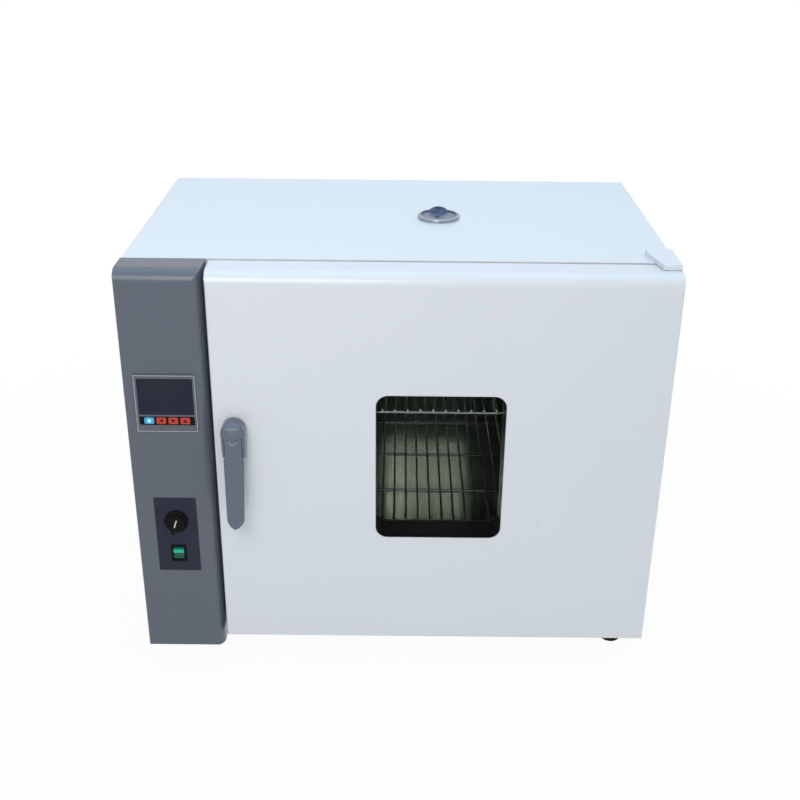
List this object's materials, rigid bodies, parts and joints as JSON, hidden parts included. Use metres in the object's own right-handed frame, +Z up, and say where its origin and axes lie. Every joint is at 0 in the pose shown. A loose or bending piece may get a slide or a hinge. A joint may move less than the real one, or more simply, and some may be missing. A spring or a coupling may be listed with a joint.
{
  "type": "forced-air drying oven",
  "caption": "Bench-top forced-air drying oven: white cabinet, hinged door with a small window, grey control panel, wire shelves and a roof vent.",
  "frame": {"origin": "on the surface the oven stands on, under the middle of its whole outline, handle and cable gland included", "axes": "+X to the right as the door is faced, along the width; +Y from the door towards the back; +Z up"},
  "size_m": [0.72, 0.5254, 0.6154],
  "materials": {
    "case_paint": "smooth white powder coat",
    "door_paint": "smooth white powder coat",
    "panel_paint": "satin grey powder coat",
    "bare_steel": "galvanised sheet",
    "chamber_steel": "stainless sheet, mill finish",
    "mineral_wool": "pressed mineral wool board",
    "heater_sheath": "heat-stained tube",
    "shelf_chrome": "bright plated wire",
    "motor_paint": "black enamel",
    "vent_chrome": "polished plate",
    "foot_rubber": "matt moulded rubber",
    "hook_steel": "machined steel",
    "black_plastic": "fine moulded texture",
    "bezel_grey": "satin moulded",
    "display_lens": "smoked window",
    "strip_black": "glossy moulded",
    "plate_dark": "satin printed film",
    "relay_metal": "extruded",
    "wire_cover": "smooth cable sheath",
    "screw_metal": "zinc plated",
    "window_glass": "clear tempered",
    "sleeve_black": "black enamel",
    "seal_rubber": "silicone",
    "bush_plastic": "bearing plastic",
    "handle_grey": "glossy grey enamel",
    "knob_black": "satin moulded",
    "rocker_green": "translucent moulded",
    "button_blue": "backlit cap",
    "button_red": "moulded cap",
    "fan_alloy": "pressed sheet",
    "dial_grey": "satin blue-grey"
  },
  "bodies": {
    "cabinet": {"outer_shell": "case_paint", "bottom_pan": "case_paint", "back_cover": "case_paint", "front_frame": "case_paint", "control_panel": "panel_paint", "partition_wall": "bare_steel", "inner_chamber": "chamber_steel", "insulation_slabs": "mineral_wool", "duct_plate": "chamber_steel", "floor_plate": "chamber_steel", "heater_elements": "heater_sheath", "temperature_probe": "chamber_steel", "shelf_rack_left": "chamber_steel", "shelf_rack_right": "chamber_steel", "wire_shelf_lower": "shelf_chrome", "wire_shelf_upper": "shelf_chrome", "fan_motor": "motor_paint", "vent_ring": "vent_chrome", "vent_pipe": "chamber_steel", "foot_front_left": "foot_rubber", "foot_front_right": "foot_rubber", "foot_rear_left": "foot_rubber", "foot_rear_right": "foot_rubber", "hinge_bracket_top": "case_paint", "hinge_bracket_bottom": "case_paint", "hinge_pins": "hook_steel", "latch_keeper": "hook_steel", "controller_housing": "black_plastic", "controller_bezel": "bezel_grey", "display_lens": "display_lens", "button_strip": "strip_black", "switch_plate": "plate_dark", "rotary_switch": "black_plastic", "rocker_housing": "black_plastic", "cable_gland": "black_plastic", "terminal_block": "black_plastic", "heater_relay": "relay_metal", "wiring_loom": "wire_cover", "cover_screws": "screw_metal"},
    "door": {"door_skin": "door_paint", "door_liner": "chamber_steel", "door_insulation": "mineral_wool", "window_glass_outer": "window_glass", "window_glass_inner": "window_glass", "window_sleeve": "sleeve_black", "door_seal": "seal_rubber", "hinge_bushes": "bush_plastic", "handle_base": "handle_grey"},
    "handle": {"handle_grip": "handle_grey", "latch_hook": "hook_steel"},
    "knob": {"switch_knob": "knob_black"},
    "rocker": {"rocker_cap": "rocker_green"},
    "button_set": {"button_1": "button_blue"},
    "button_shift": {"button_2": "button_red"},
    "button_down": {"button_3": "button_red"},
    "button_up": {"button_4": "button_red"},
    "fan_rotor": {"impeller": "fan_alloy", "fan_shaft": "hook_steel"},
    "vent_dial": {"vent_dial": "dial_grey"}
  },
  "joints": [
    {"name": "door_swing", "type": "hinge", "parent": "cabinet", "child": "door", "pos_m": [0.349, -0.185, 0.325], "axis": [0, 0, 1], "range_deg": [0, 110]},
    {"name": "handle_pull", "type": "hinge", "parent": "door", "child": "handle", "pos_m": [-0.217, -0.232, 0.366], "axis": [-1, 0, 0], "range_deg": [0, 15], "stiffness_Nm_per_rad": 3, "springref_deg": -8.59},
    {"name": "knob_turn", "type": "hinge", "parent": "cabinet", "child": "knob", "pos_m": [-0.305, -0.228, 0.2405], "axis": [0, 1, 0], "range_deg": [-72, 36]},
    {"name": "rocker_tip", "type": "hinge", "parent": "cabinet", "child": "rocker", "pos_m": [-0.305, -0.216, 0.189], "axis": [-1, 0, 0], "range_deg": [0, 24]},
    {"name": "button_set_press", "type": "slide", "parent": "cabinet", "child": "button_set", "axis": [0, 1, 0], "range_m": [0, 0.0006], "stiffness_N_per_m": 500},
    {"name": "button_shift_press", "type": "slide", "parent": "cabinet", "child": "button_shift", "axis": [0, 1, 0], "range_m": [0, 0.0006], "stiffness_N_per_m": 500},
    {"name": "button_down_press", "type": "slide", "parent": "cabinet", "child": "button_down", "axis": [0, 1, 0], "range_m": [0, 0.0006], "stiffness_N_per_m": 500},
    {"name": "button_up_press", "type": "slide", "parent": "cabinet", "child": "button_up", "axis": [0, 1, 0], "range_m": [0, 0.0006], "stiffness_N_per_m": 500},
    {"name": "fan_spin", "type": "hinge", "parent": "cabinet", "child": "fan_rotor", "pos_m": [-0.186, 0.038, 0.317], "axis": [1, 0, 0], "continuous": true},
    {"name": "vent_turn", "type": "hinge", "parent": "cabinet", "child": "vent_dial", "pos_m": [0.0565, 0.03, 0.606], "axis": [0, 0, 1], "range_deg": [0, 90]}
  ]
}
